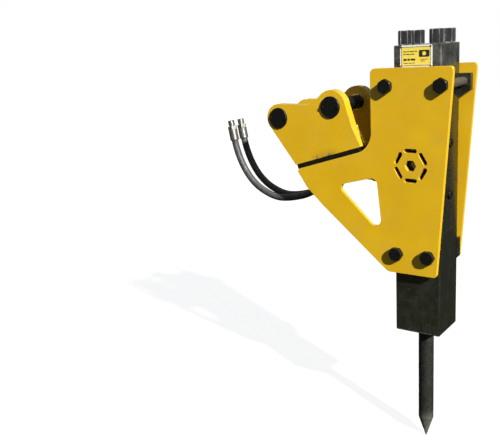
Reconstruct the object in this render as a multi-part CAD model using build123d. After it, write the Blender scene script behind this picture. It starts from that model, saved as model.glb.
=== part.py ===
from build123d import *
import math
import os

# Hydraulic breaker hammer in a side-plate bracket, millimetres.
# Shapes are drawn about the breaker's own axis: x = 0 and y = 0 on that axis, z = 0 near the
# lower face of the front head, the carrier on the -X side.  Every node is moved on export so that the
# origin lies on the arm pin's axis, midway between the ears, with +Z up the breaker.

# ---- driving dimensions -------------------------------------------------------------------------
TOOL_DIA = 45.0            # working steel
OUTER_WIDTH = 189.0        # over the outer faces of the side plates and ears
PLATE_T = 12.0             # side plates
EAR_T = 30.0               # ear plates
BASE_T = 14.0              # base plate between ears and side plates
RAMP_ANGLE = 15.7          # slope of the base plate, degrees
ARM_PIN = (-431.0, 618.0)  # x, z of the two mounting pins
LINK_PIN = (-251.0, 651.0)
PIN_DIA = 40.0
PIN_HEAD_DIA = 62.0
EAR_BUSH_R = 26.0          # outer radius of the ear bushes
PIN_SCREW_X = (-25.5, 25.5)   # captive screws, either side of a pin
BODY_W = 133.0             # square section of the front head and cylinder
BACK_W = 134.0             # square section of the back head
FRONT_FOOT = -4.5          # lower face of the front head
FRONT_TOP = 300.0          # split lines of the body
CYL_TOP = 598.0
BACK_TOP = 812.0
PLATE_TOP = 755.0
PLATE_FOOT = 181.0
SIDE_BOLT_DIA = 24.0       # M24 side bolts
SIDE_BOLTS_UP = [(-78.0, 706.5), (78.0, 706.5)]      # x, z
SIDE_BOLTS_LOW = [(-49.5, 238.5), (43.5, 238.5)]
TIE_ROD_DIA = 20.0
TIE_ROD_OFFSET = 44.0
TOOL_STROKE = 45.0
PISTON_STROKE = 50.0
SPOOL_STROKE = 12.0
HOSE_OD = 22.0
HOSE_BORE = 12.7
HOSE_Y = 26.0
END_R = 10.4               # male half-inch couplings on the hoses' free ends
END_L = 15.0

ORIGIN_SHIFT = Pos(-ARM_PIN[0], 0, -ARM_PIN[1])
HALF = OUTER_WIDTH / 2
PLATE_IN = HALF - PLATE_T           # inner faces of the side plates
EAR_IN = HALF - EAR_T               # inner faces of the ears
RUN = 0.05                          # radial clearance of a running fit


def save(name, shape):
    """Move a finished node to the arm pin frame and write it."""
    placed = ORIGIN_SHIFT * shape
    placed.label = name
    export_step(placed, f"parts/{name}.step")


# ---- helpers ------------------------------------------------------------------------------------
def rod(radius, z0, z1, x=0.0, y=0.0):
    """Upright cylinder."""
    return Pos(x, y, (z0 + z1) / 2) * Cylinder(radius, z1 - z0)


def rod_y(radius, y0, y1, x, z):
    """Cylinder lying along Y."""
    return Pos(x, (y0 + y1) / 2, z) * Rot(90, 0, 0) * Cylinder(radius, y1 - y0)


def rod_x(radius, x0, x1, y, z):
    """Cylinder lying along X."""
    return Pos((x0 + x1) / 2, y, z) * Rot(0, 90, 0) * Cylinder(radius, x1 - x0)


def block(x0, x1, y0, y1, z0, z1):
    """Box between two corners."""
    return Pos((x0 + x1) / 2, (y0 + y1) / 2, (z0 + z1) / 2) * Box(x1 - x0, y1 - y0, z1 - z0)


def rounded(points):
    """Flat face in x and z from (x, z, corner radius) triples."""
    face = make_face(Polyline(*[(x, z) for x, z, _ in points], close=True))
    for x, z, radius in points:
        if radius:
            corner = face.vertices().sort_by_distance((x, z, 0))[0]
            face = fillet(corner, radius)
    return face


def slab(face, y0, y1):
    """Raise an x-z face into a plate between y0 and y1."""
    return Pos(0, y1, 0) * Rot(90, 0, 0) * extrude(face, y1 - y0)


def mirrored(shape):
    """The same piece on the far side."""
    return mirror(shape, about=Plane.XZ)


def soft(shape, size, axis=Axis.Z):
    """Chamfer the edges that run along an axis."""
    return chamfer(shape.edges().filter_by(axis), size)


def hexagon(across_flats, height, turn=0.0):
    """Hexagonal prism standing on z = 0, with its two rims broken by a cone."""
    corner = across_flats / math.sqrt(3)
    prism = extrude(Rot(0, 0, turn) * RegularPolygon(corner, 6), height)
    bevel = (corner - across_flats / 2) * 0.9
    crown = Cylinder(corner, height, align=(Align.CENTER, Align.CENTER, Align.MIN))
    crown = chamfer(crown.edges(), bevel)
    return prism & crown


def facing(shape, side, x, y, z):
    """Turn a piece built up +Z so that it points along side * Y and place its foot."""
    return Pos(x, y, z) * Rot(-90 * side, 0, 0) * shape


def facing_x(shape, side, x, y, z):
    """Turn a piece built up +Z so that it points along side * X and place its foot."""
    return Pos(x, y, z) * Rot(0, 90 * side, 0) * shape


# ---- bracket ------------------------------------------------------------------------------------
RAMP_START = (-366.4, 466.05)
RAMP_U = (math.cos(math.radians(RAMP_ANGLE)), math.sin(math.radians(RAMP_ANGLE)))


def ramp(along, above=0.0):
    """Point in x and z measured along and above the sloped edge of the side plates."""
    return (RAMP_START[0] + along * RAMP_U[0] - above * RAMP_U[1],
            RAMP_START[1] + along * RAMP_U[1] + above * RAMP_U[0])


LEFT_EDGE = -125.0
NOTCH_FOOT = ramp((LEFT_EDGE - RAMP_START[0]) / RAMP_U[0])
SLOT_CENTRE = (-8.0, 492.0)


def slot_ring():
    """Six rounded slots round a hexagonal hole, cut through each side plate."""
    cut = extrude(Pos(*SLOT_CENTRE) * RegularPolygon(17, 6), PLATE_T + 4)
    for i in range(6):
        place = Pos(*SLOT_CENTRE) * Rot(0, 0, 60 * i + 30) * Pos(41, 0)
        cut += extrude(place * SlotOverall(37, 12, rotation=90), PLATE_T + 4)
    return cut


def side_plate(right_foot, left_foot):
    """Body half of a side plate; the feet list the outline's lower right end and its lower left."""
    outline = right_foot + [
        (108.5, 735.0, 0), (108.5, PLATE_TOP, 9),
        (LEFT_EDGE, PLATE_TOP, 15), (*NOTCH_FOOT, 62), (*RAMP_START, 3),
    ] + left_foot
    plate = slab(rounded(outline), -HALF, -PLATE_IN)
    plate -= Pos(0, -PLATE_IN + 2, 0) * Rot(90, 0, 0) * slot_ring()
    for x, z in SIDE_BOLTS_UP + SIDE_BOLTS_LOW:
        plate -= rod_y(SIDE_BOLT_DIA / 2 + 0.5, -HALF - 1, -PLATE_IN + 1, x, z)
    outer = plate.faces().sort_by(Axis.Y)[0].outer_wire().edges()
    return chamfer(outer, 0.8)


def near_side_plate():
    plate = side_plate([(67.0, PLATE_FOOT, 10)], [
        (-371.0, 457.5, 2), (-339.0, 409.0, 40), (-287.0, 359.5, 60), (-78.0, PLATE_FOOT, 22),
    ])
    window = rounded([(-110.0, 454.5, 17), (-92.5, 282.5, 19), (-237.5, 424.0, 14)])
    plate -= slab(window, -HALF - 1, -PLATE_IN + 1)
    return plate


def far_side_plate():
    """The far plate's wing is an open arm, which leaves the throat free for the hoses."""
    return mirrored(side_plate([(50.0, PLATE_FOOT, 3), (68.6, 202.0, 4)], [
        (-371.0, 457.5, 2), (-343.0, 403.5, 14), (-178.0, 447.0, 34), (-166.0, 300.0, 40),
        (-78.0, PLATE_FOOT, 22),
    ]))


def base_plate():
    """Sloped plate; its underside is relieved at the upper end, over the side plates' notch."""
    length, relief = 217.5, 12.0
    width = OUTER_WIDTH - 5
    middle = ramp(-4 + length / 2, BASE_T / 2)
    plate = Pos(middle[0], 0, middle[1]) * Rot(0, -RAMP_ANGLE, 0) * Box(length, width, BASE_T)
    corner = ramp(-4 + length - relief / 2 + 1, 0)
    return plate - Pos(corner[0], 0, corner[1]) * Rot(0, -RAMP_ANGLE, 0) * Box(relief + 2, width + 2, 2)


def ear_plate():
    left = ramp(-7, BASE_T)
    right = ramp(222, BASE_T)
    outline = [
        (*left, 2), (*right, 2), (-184.0, 595.0, 90), (-205.8, 665.0, 0), (-285.0, 684.0, 0),
        (-322.0, 657.0, 32), (-431.0, 659.9, 0), (-464.4, 592.6, 0),
    ]
    ear = slab(rounded(outline), -HALF, -EAR_IN)
    ear += rod_y(42, -HALF, -EAR_IN, *ARM_PIN)
    ear += rod_y(48, -HALF, -EAR_IN, *LINK_PIN)
    for x, z in (ARM_PIN, LINK_PIN):
        ear -= rod_y(EAR_BUSH_R, -HALF - 1, -EAR_IN + 1, x, z)
        for dx in PIN_SCREW_X:
            ear -= rod_y(4, -HALF - 1, -HALF + 16, x + dx, z)
    return ear


def ear_bushes():
    bushes = []
    for x, z in (ARM_PIN, LINK_PIN):
        bush = rod_y(EAR_BUSH_R, -HALF, -EAR_IN, x, z)
        bush -= rod_y(PIN_DIA / 2 + RUN, -HALF - 1, -EAR_IN + 1, x, z)
        for dx in PIN_SCREW_X:
            bush -= rod_y(4, -HALF - 1, -HALF + 16, x + dx, z)
        bushes += [bush, mirrored(bush)]
    return Compound(children=bushes)


PIN_HEAD_T = 5.0
SCREW_HEAD_T = 2.6
PIN_TAIL = HALF + 1.0


def mounting_pin(x, z):
    """Headed pin; two shallow grooves bound the part of the shank the carrier's boss turns on."""
    pin = rod_y(PIN_DIA / 2, -HALF - 4, PIN_TAIL, x, z)
    pin = chamfer(pin.edges().sort_by(Axis.Y)[-1], 4)
    pin += rod_y(PIN_HEAD_DIA / 2, -HALF - PIN_HEAD_T, -HALF - 0.05, x, z)
    pin = chamfer(pin.edges().sort_by(Axis.Y)[0], 1.5)
    for y in (-EAR_IN, EAR_IN):
        ring = rod_y(PIN_DIA / 2 + 2, y - 1.5, y + 1.5, x, z) - rod_y(PIN_DIA / 2 - 1, y - 2, y + 2, x, z)
        pin -= ring
    for dx in PIN_SCREW_X:
        pin -= rod_y(4.5, -HALF - PIN_HEAD_T - 1, -HALF + 1, x + dx, z)
    return pin


def pin_screws(x, z):
    """Two captive button-head screws that lock a pin's head to the ear."""
    screws = []
    for dx in PIN_SCREW_X:
        screw = rod_y(3.9, -HALF - PIN_HEAD_T, -HALF + 14, x + dx, z)
        head = rod_y(5.2, -HALF - PIN_HEAD_T - SCREW_HEAD_T, -HALF - PIN_HEAD_T, x + dx, z)
        head = fillet(head.edges().sort_by(Axis.Y)[0], 1.2)
        socket = extrude(RegularPolygon(2.6, 6), 1.6)
        head -= facing(socket, 1, x + dx, -HALF - PIN_HEAD_T - SCREW_HEAD_T - 0.1, z)
        screws.append(screw + head)
    return Compound(children=screws)


# ---- breaker body -------------------------------------------------------------------------------
BUSH_R = 31.0
LOWER_BUSH_TOP = 110.0
UPPER_BUSH = (236.0, FRONT_TOP)
STOP_X = 25.0                # retaining pins, offset from the tool's axis
STOP_Z = 215.0
STOP_R = 9.0
STOP_HALF = 72.0
ROD_FOOT = 262.0
LOWER_PAD = [(-72.0, 258.0), (70.0, 258.0), (70.0, 200.0), (57.0, 188.0), (-57.0, 188.0), (-72.0, 200.0)]
UPPER_PAD = [(-99.0, 728.0), (99.0, 728.0), (99.0, 682.0), (66.0, 660.0), (-66.0, 660.0), (-99.0, 682.0)]


def pads(points, body_half):
    """Raised pads on both broad faces that the side plates bolt against."""
    face = make_face(Polyline(*points, close=True))
    near = slab(face, -PLATE_IN, -body_half + 2)
    return near + mirrored(near)


def corners():
    """The four tie rod positions."""
    return [(sx * TIE_ROD_OFFSET, sy * TIE_ROD_OFFSET) for sx in (-1, 1) for sy in (-1, 1)]


def front_head():
    half = BODY_W / 2
    head = soft(block(-half, half, -half, half, FRONT_FOOT, FRONT_TOP), 3)
    head = chamfer(head.faces().sort_by(Axis.Z)[0].edges(), 2)
    head += pads(LOWER_PAD, half)
    head -= rod(BUSH_R, FRONT_FOOT - 1, LOWER_BUSH_TOP)
    head -= rod(TOOL_DIA / 2 + 1.5, LOWER_BUSH_TOP - 1, UPPER_BUSH[0] + 1)
    head -= rod(BUSH_R, *UPPER_BUSH) + rod(BUSH_R, FRONT_TOP - 1, FRONT_TOP + 1)
    for x in (-STOP_X, STOP_X):
        head -= rod_y(STOP_R, -PLATE_IN - 1, PLATE_IN + 1, x, STOP_Z)
    for x, z in SIDE_BOLTS_LOW:
        hole = rod_y(SIDE_BOLT_DIA / 2, -PLATE_IN - 1, -46, x, z)
        head -= hole + mirrored(hole)
    for x, y in corners():
        head -= rod(TIE_ROD_DIA / 2, ROD_FOOT, FRONT_TOP + 1, x, y)
    head -= rod_x(6, -half - 1, -BUSH_R + 2, 0, 60)
    head -= rod_x(4, -half - 1, -TOOL_DIA / 2, 0, 150)
    return head


def lower_bush():
    bush = rod(BUSH_R, FRONT_FOOT - 3, LOWER_BUSH_TOP)
    bush -= rod(TOOL_DIA / 2 + RUN, FRONT_FOOT - 4, LOWER_BUSH_TOP + 1)
    bush = chamfer(bush.edges().sort_by(Axis.Z)[:2], 1)
    bush -= rod(27, 10, 20)
    bush -= rod_x(6, -BUSH_R - 1, -BUSH_R + 4, 0, 60)
    return bush


def dust_seal():
    return rod(27, 10, 20) - rod(TOOL_DIA / 2 + 0.3, 9, 21)


def upper_bush():
    bush = rod(BUSH_R, *UPPER_BUSH) - rod(TOOL_DIA / 2 + RUN, UPPER_BUSH[0] - 1, UPPER_BUSH[1] + 1)
    groove = rod(25, 262, 268)
    return bush - groove


def bush_pin():
    pin = rod_x(6, -BODY_W / 2 + 1, -BUSH_R + 4, 0, 60)
    return chamfer(pin.edges().sort_by(Axis.X)[0], 1)


def retaining_pins():
    pins = []
    for x in (-STOP_X, STOP_X):
        pin = rod_y(STOP_R, -STOP_HALF, STOP_HALF, x, STOP_Z)
        pins.append(chamfer(pin.edges(), 1.2))
    return Compound(children=pins)


def retaining_plugs():
    plugs = []
    for x in (-STOP_X, STOP_X):
        plug = rod_y(STOP_R, -PLATE_IN + 0.5, -STOP_HALF, x, STOP_Z)
        plugs += [plug, mirrored(plug)]
    return Compound(children=plugs)


def grease_nipple():
    nipple = rod_x(4, -BODY_W / 2, -BODY_W / 2 + 14, 0, 150)
    nipple += facing_x(hexagon(11, 5), -1, -BODY_W / 2, 0, 150)
    nipple += rod_x(3, -BODY_W / 2 - 12, -BODY_W / 2 - 4, 0, 150)
    nipple += Pos(-BODY_W / 2 - 12, 0, 150) * Sphere(3.4)
    return nipple


CONE_FOOT = -305.0
TIP = -370.0
TOOL_TOP = 290.0


def chisel():
    radius = TOOL_DIA / 2
    tool = rod(radius, CONE_FOOT, TOOL_TOP)
    tool = chamfer(tool.edges().sort_by(Axis.Z)[-1], 3)
    tool += Pos(0, 0, (CONE_FOOT + TIP) / 2) * Rot(180, 0, 0) * Cone(radius, 1.5, CONE_FOOT - TIP)
    top = STOP_Z + STOP_R + 0.3 - 9.5
    foot = STOP_Z - STOP_R - TOOL_STROKE - 0.5 + 9.5
    for x in (-STOP_X, STOP_X):
        tool -= rod_y(9.5, -30, 30, x, top) + rod_y(9.5, -30, 30, x, foot)
        tool -= block(x - 9.5, x + 9.5, -30, 30, foot, top)
    return tool


STRIKE = TOOL_TOP + TOOL_STROKE + 1.0     # piston face at the bottom of its stroke
RETAINER = (560.0, 600.0)


def cylinder():
    half = BODY_W / 2
    body = soft(block(-half, half, -half, half, FRONT_TOP, CYL_TOP), 3)
    body -= rod(24, FRONT_TOP - 1, 346)
    body -= rod(22 + RUN, 345, 386)
    body -= rod(26, 360, 368)
    body -= rod(31 + RUN, 385, 561)
    body -= rod(36, 470, 486)
    body -= rod(37, RETAINER[0], CYL_TOP + 1)
    for x, y in corners():
        body -= rod(TIE_ROD_DIA / 2 + 0.5, FRONT_TOP - 1, CYL_TOP + 1, x, y)
    for z in (440, 478):
        body -= rod_x(5, -half - 1, -30, 0, z)
    for z in PLUG_Z:
        body -= rod_x(10, 52, half + 1, 0, z)
        body -= rod_x(4, 30, 53, 0, z)
    for y, z in VALVE_SCREWS:
        body -= rod_x(5, -half - 1, -half + 12, y, z)
    return body


PLUG_Z = (400.0, 545.0)
VALVE_X = (-121.0, -BODY_W / 2)
VALVE_Z = (408.0, 540.0)
VALVE_HALF = 44.0
VALVE_SCREWS = [(sy * 28.0, z) for sy in (-1, 1) for z in (418.0, 530.0)]
SPOOL_X = -92.0
PORT_Z = 447.0


def cylinder_plugs():
    """Hexagon-socket plugs over the cylinder's test ports."""
    plugs = []
    for z in PLUG_Z:
        plug = rod_x(10, 53, BODY_W / 2, 0, z) + rod_x(13, BODY_W / 2, BODY_W / 2 + 6, 0, z)
        plug = chamfer(plug.edges().sort_by(Axis.X)[-1], 1)
        plug -= facing_x(extrude(RegularPolygon(5.8, 6), 6), 1, BODY_W / 2 + 1, 0, z)
        plugs.append(plug)
    return Compound(children=plugs)


def valve_body():
    body = block(*VALVE_X, -VALVE_HALF, VALVE_HALF, *VALVE_Z)
    body = chamfer(body.faces().sort_by(Axis.X)[0].edges(), 3)
    body -= rod(14 + RUN, VALVE_Z[0] + 20, VALVE_Z[1] - 20, SPOOL_X)
    body -= rod(17, VALVE_Z[0] - 1, VALVE_Z[0] + 20, SPOOL_X)
    body -= rod(17, VALVE_Z[1] - 20, VALVE_Z[1] + 1, SPOOL_X)
    for z in (440, 478):
        body -= rod_x(5, SPOOL_X, -BODY_W / 2 + 1, 0, z)
    for y in (-HOSE_Y, HOSE_Y):
        body -= rod_x(10.4, VALVE_X[0] - 1, VALVE_X[0] + 17, y, PORT_Z)
        body -= rod_x(5, VALVE_X[0] + 16, SPOOL_X, y, PORT_Z)
    body -= rod_y(4, -HOSE_Y, HOSE_Y, SPOOL_X, PORT_Z)
    for y, z in VALVE_SCREWS:
        body -= rod_x(5.5, VALVE_X[0] - 1, VALVE_X[1] + 1, y, z)
        body -= rod_x(8.5, VALVE_X[0] - 1, VALVE_X[0] + 10, y, z)
    return body


def valve_caps():
    """Screwed plugs that close both ends of the spool bore."""
    caps = []
    for z, side in ((VALVE_Z[1], 1), (VALVE_Z[0], -1)):
        foot, head = sorted((z - side * 18, z))
        cap = rod(17, foot, head, SPOOL_X)
        top = hexagon(30, 9)
        if side < 0:
            top = Rot(180, 0, 0) * top
        caps.append(cap + Pos(SPOOL_X, 0, z) * top)
    return Compound(children=caps)


def valve_spool():
    foot = VALVE_Z[0] + 20
    spool = rod(14, foot, foot + 78, SPOOL_X)
    for z in (foot + 16, foot + 44):
        spool -= rod(15, z, z + 12, SPOOL_X) - rod(9, z - 1, z + 13, SPOOL_X)
    return spool


def cap_screw(head_dia, head_h, dia, length):
    """Socket-head screw: head stands on z = 0, shank runs down."""
    screw = Cylinder(head_dia / 2, head_h, align=(Align.CENTER, Align.CENTER, Align.MIN))
    screw = chamfer(screw.edges().sort_by(Axis.Z)[-1], 0.8)
    screw -= Pos(0, 0, head_h / 2) * extrude(RegularPolygon(dia * 0.48, 6), head_h)
    screw += Pos(0, 0, -length) * Cylinder(dia / 2, length, align=(Align.CENTER, Align.CENTER, Align.MIN))
    return screw


def valve_screws():
    screws = []
    for y, z in VALVE_SCREWS:
        screws.append(facing_x(cap_screw(16, 10, 10, 56), -1, VALVE_X[0] + 10, y, z))
    return Compound(children=screws)


def piston():
    body = rod(22, STRIKE, 430)
    body = chamfer(body.edges().sort_by(Axis.Z)[0], 2)
    body += rod(31, 430, 505) + rod(25, 505, 660)
    for z in (445, 465, 485):
        body -= rod(32, z, z + 4) - rod(29, z - 1, z + 5)
    return chamfer(body.edges().sort_by(Axis.Z)[-1], 3)


def seal_retainer():
    ring = rod(37, *RETAINER) - rod(25 + RUN, RETAINER[0] - 1, RETAINER[1] + 1)
    return ring - rod(29, 570, 578) - rod(29, 584, 590)


def rod_seals():
    """Seal rings in the cylinder's guide and in the retainer."""
    rings = [rod(26, 360, 368) - rod(22.3, 359, 369)]
    for z0, z1 in ((570, 578), (584, 590)):
        rings.append(rod(29, z0, z1) - rod(25.3, z0 - 1, z1 + 1))
    return Compound(children=rings)


def back_head():
    half = BACK_W / 2
    head = soft(block(-half, half, -half, half, CYL_TOP, BACK_TOP), 3)
    head = chamfer(head.faces().sort_by(Axis.Z)[-1].edges(), 2)
    head += pads(UPPER_PAD, half)
    head -= rod(37, CYL_TOP - 1, RETAINER[1])
    head -= rod(32, RETAINER[1] - 1, 732)
    for x, z in SIDE_BOLTS_UP:
        head -= rod_y(SIDE_BOLT_DIA / 2 + 0.7, -PLATE_IN - 1, PLATE_IN + 1, x, z)
    for x, y in corners():
        head -= rod(TIE_ROD_DIA / 2 + 0.5, CYL_TOP - 1, BACK_TOP + 1, x, y)
    head -= rod_x(11, -half - 1, -half + 20, 0, GAS_Z)
    head -= rod_x(3, -half + 19, -30, 0, GAS_Z)
    for x, z in LABEL_RIVETS:
        head -= rod_y(1.6, -half - 1, -half + 6, x, z)
    return head


GAS_Z = 640.0
LABEL = (90.0, 58.0, 1.2)
LABEL_X = -2.6
LABEL_Z = 782.0
LABEL_RIVETS = [(LABEL_X + sx * 41.0, LABEL_Z + sz * 25.0) for sx in (-1, 1) for sz in (-1, 1)]


def gas_valve():
    valve = rod_x(11, -BACK_W / 2 - 2, -BACK_W / 2 + 18, 0, GAS_Z)
    valve += facing_x(hexagon(24, 8), -1, -BACK_W / 2 - 2, 0, GAS_Z)
    valve += rod_x(6, -BACK_W / 2 - 18, -BACK_W / 2 - 9, 0, GAS_Z)
    return valve


def gas_valve_cap():
    foot = -BACK_W / 2 - 10
    cap = facing_x(hexagon(17, 14), -1, foot, 0, GAS_Z)
    return cap - rod_x(6, foot - 8, foot + 1, 0, GAS_Z)


def name_plate():
    width, height, thick = LABEL
    face = RectangleRounded(width, height, 5)
    plate = Pos(LABEL_X, -BACK_W / 2, LABEL_Z) * Rot(90, 0, 0) * extrude(face, thick)
    for x, z in LABEL_RIVETS:
        plate -= rod_y(1.6, -BACK_W / 2 - 3, -BACK_W / 2 + 1, x, z)
    return plate


def name_plate_rivets():
    rivets = []
    for x, z in LABEL_RIVETS:
        shank = rod_y(1.6, -BACK_W / 2 - LABEL[2], -BACK_W / 2 + 5, x, z)
        head = rod_y(2.8, -BACK_W / 2 - LABEL[2] - 1.1, -BACK_W / 2 - LABEL[2], x, z)
        rivets.append(shank + fillet(head.edges().sort_by(Axis.Y)[0], 0.9))
    return Compound(children=rivets)


# ---- fasteners ----------------------------------------------------------------------------------
HEX_AF = 36.0
HEAD_H = 15.0
NUT_H = 21.5
ROD_NUT_AF = 32.0
ROD_NUT_H = 38.0


def tie_rods():
    rods = []
    for x, y in corners():
        stud = rod(TIE_ROD_DIA / 2, ROD_FOOT + 1, BACK_TOP + ROD_NUT_H - 3, x, y)
        rods.append(chamfer(stud.edges(), 2))
    return Compound(children=rods)


def tie_rod_nuts():
    """Tall hexagon nuts with a turned collar at the foot."""
    nuts = []
    for x, y in corners():
        nut = hexagon(ROD_NUT_AF, ROD_NUT_H, 15)
        nut += Cylinder(ROD_NUT_AF / 2, 2, align=(Align.CENTER, Align.CENTER, Align.MIN))
        nut -= Cylinder(TIE_ROD_DIA / 2, 90)
        nuts.append(Pos(x, y, BACK_TOP) * nut)
    return Compound(children=nuts)


def hex_bolt(length, turn):
    """Hexagon bolt: head stands on z = 0, shank runs down."""
    shank = Cylinder(SIDE_BOLT_DIA / 2, length, align=(Align.CENTER, Align.CENTER, Align.MAX))
    shank = chamfer(shank.edges().sort_by(Axis.Z)[0], 2)
    return hexagon(HEX_AF, HEAD_H, turn) + shank


def upper_side_bolts():
    """Long bolts that pass beside the back head, heads on the near side."""
    bolts = []
    for x, z in SIDE_BOLTS_UP:
        bolts.append(facing(hex_bolt(2 * HALF + NUT_H + 8, 30), -1, x, -HALF, z))
    return Compound(children=bolts)


def upper_side_nuts():
    nuts = []
    for x, z in SIDE_BOLTS_UP:
        nut = hexagon(HEX_AF, NUT_H, 30) - Cylinder(SIDE_BOLT_DIA / 2, 80)
        nuts.append(facing(nut, 1, x, HALF, z))
    return Compound(children=nuts)


def lower_side_bolts():
    """Short bolts screwed into the front head from both sides."""
    bolts = []
    for x, z in SIDE_BOLTS_LOW:
        bolt = facing(hex_bolt(HALF - 48, 0), -1, x, -HALF, z)
        bolts += [bolt, mirrored(bolt)]
    return Compound(children=bolts)


# ---- hoses --------------------------------------------------------------------------------------
NUT_X = VALVE_X[0] - 12
FERRULE_X = NUT_X - 20
HOSE_START = -188.0
HOSE_ROUTE = [
    (HOSE_START, PORT_Z), (-277.0, 447.0), (-363.0, 377.0), (-446.0, 355.0),
    (-512.0, 354.0), (-594.0, 397.0), (-647.0, 484.0), (-656.2, 535.2),
]


def hose_wire(y):
    """Straight runs joined by arcs; each radius is set by the shorter run beside it."""
    points = HOSE_ROUTE
    radii = []
    for i in range(1, len(points) - 1):
        before = Vector(points[i][0] - points[i - 1][0], points[i][1] - points[i - 1][1])
        after = Vector(points[i + 1][0] - points[i][0], points[i + 1][1] - points[i][1])
        turn = math.radians(before.get_angle(after))
        radii.append(0.45 * min(before.length, after.length) / math.tan(turn / 2))
    print("hose radii", [round(r, 1) for r in radii])
    return FilletPolyline(*[(x, y, z) for x, z in points], radius=radii)


def hose(y):
    wire = hose_wire(y)
    section = Plane(origin=wire @ 0, z_dir=wire % 0)
    tube = sweep(section * (Circle(HOSE_OD / 2) - Circle(HOSE_BORE / 2)), path=wire)
    area = math.pi * (HOSE_OD ** 2 - HOSE_BORE ** 2) / 4
    print("hose length", round(wire.length, 1), "volume ratio", round(tube.volume / area / wire.length, 5))
    return tube


def port_adapters():
    adapters = []
    for y in (-HOSE_Y, HOSE_Y):
        adapter = rod_x(10.4, VALVE_X[0], VALVE_X[0] + 14, y, PORT_Z)
        adapter += facing_x(hexagon(30, 11), -1, VALVE_X[0], y, PORT_Z)
        adapter += rod_x(10.4, NUT_X - 14, VALVE_X[0] - 10, y, PORT_Z)
        adapters.append(adapter - rod_x(5, VALVE_X[0] - 40, VALVE_X[0] + 20, y, PORT_Z))
    return Compound(children=adapters)


def hose_nuts():
    """Swivel nuts that draw the hoses onto the breaker's adapters."""
    nuts = []
    for y in (-HOSE_Y, HOSE_Y):
        nut = facing_x(hexagon(32, 20), -1, NUT_X, y, PORT_Z)
        nuts.append(nut - rod_x(10.4, NUT_X - 21, NUT_X + 1, y, PORT_Z))
    return Compound(children=nuts)


def ferrule():
    """Crimped ferrule standing on z = 0 with the hose leaving at the top."""
    length = FERRULE_X - HOSE_START
    body = Cylinder(14.5, length, align=(Align.CENTER, Align.CENTER, Align.MIN))
    body = chamfer(body.edges(), 1.5)
    for z in (7, 14, 21, 28):
        body -= Pos(0, 0, z) * (Cylinder(16, 1.6) - Cylinder(13.9, 3))
    return body - Cylinder(HOSE_BORE / 2, 120)


def hose_end(y, shape, offset):
    """Place a piece built up +Z beyond the free end of a hose, on its centre line."""
    (x0, z0), (x1, z1) = HOSE_ROUTE[-2:]
    lean = math.degrees(math.atan2(x1 - x0, z1 - z0))
    return Pos(x1, y, z1) * Rot(0, lean, 0) * Pos(0, 0, offset) * shape


def hose_ferrules():
    length = FERRULE_X - HOSE_START
    rings = []
    for y in (-HOSE_Y, HOSE_Y):
        rings.append(facing_x(ferrule(), -1, FERRULE_X, y, PORT_Z))
        rings.append(hose_end(y, Pos(0, 0, length) * Rot(180, 0, 0) * ferrule(), 0))
    return Compound(children=rings)


def hose_end_adapters():
    """Male half-inch couplings on the free ends."""
    length = FERRULE_X - HOSE_START
    base = (Align.CENTER, Align.CENTER, Align.MIN)
    ends = []
    for y in (-HOSE_Y, HOSE_Y):
        end = hexagon(27, 12) + Pos(0, 0, 12) * Cylinder(9.2, 3, align=base)
        end += Pos(0, 0, 15) * chamfer(Cylinder(END_R, END_L + 1, align=base).edges().sort_by(Axis.Z)[-1], 1)
        end -= Cylinder(HOSE_BORE / 2, 120)
        ends.append(hose_end(y, end, length))
    return Compound(children=ends)



NODES = {
    "side_plate_near": near_side_plate,
    "side_plate_far": far_side_plate,
    "base_plate": base_plate,
    "ear_near": ear_plate,
    "ear_far": lambda: mirrored(ear_plate()),
    "ear_bushes": ear_bushes,
    "arm_pin": lambda: mounting_pin(*ARM_PIN),
    "link_pin": lambda: mounting_pin(*LINK_PIN),
    "arm_pin_screws": lambda: pin_screws(*ARM_PIN),
    "link_pin_screws": lambda: pin_screws(*LINK_PIN),
    "front_head": front_head,
    "lower_bush": lower_bush,
    "upper_bush": upper_bush,
    "dust_seal": dust_seal,
    "bush_pin": bush_pin,
    "retaining_pins": retaining_pins,
    "retaining_plugs": retaining_plugs,
    "grease_nipple": grease_nipple,
    "chisel": chisel,
    "cylinder": cylinder,
    "cylinder_plugs": cylinder_plugs,
    "valve_body": valve_body,
    "valve_caps": valve_caps,
    "valve_spool": valve_spool,
    "valve_screws": valve_screws,
    "piston": piston,
    "seal_retainer": seal_retainer,
    "rod_seals": rod_seals,
    "back_head": back_head,
    "gas_valve": gas_valve,
    "gas_valve_cap": gas_valve_cap,
    "name_plate": name_plate,
    "name_plate_rivets": name_plate_rivets,
    "tie_rods": tie_rods,
    "tie_rod_nuts": tie_rod_nuts,
    "upper_side_bolts": upper_side_bolts,
    "upper_side_nuts": upper_side_nuts,
    "lower_side_bolts": lower_side_bolts,
    "hose_supply": lambda: hose(-HOSE_Y),
    "hose_return": lambda: hose(HOSE_Y),
    "port_adapters": port_adapters,
    "hose_nuts": hose_nuts,
    "hose_ferrules": hose_ferrules,
    "hose_end_adapters": hose_end_adapters,
}

os.makedirs("parts", exist_ok=True)
for node, build in NODES.items():
    save(node, build())
print(len(NODES), "nodes")
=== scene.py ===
import bmesh
import bpy
import math
from mathutils import Matrix, Vector, noise


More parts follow.
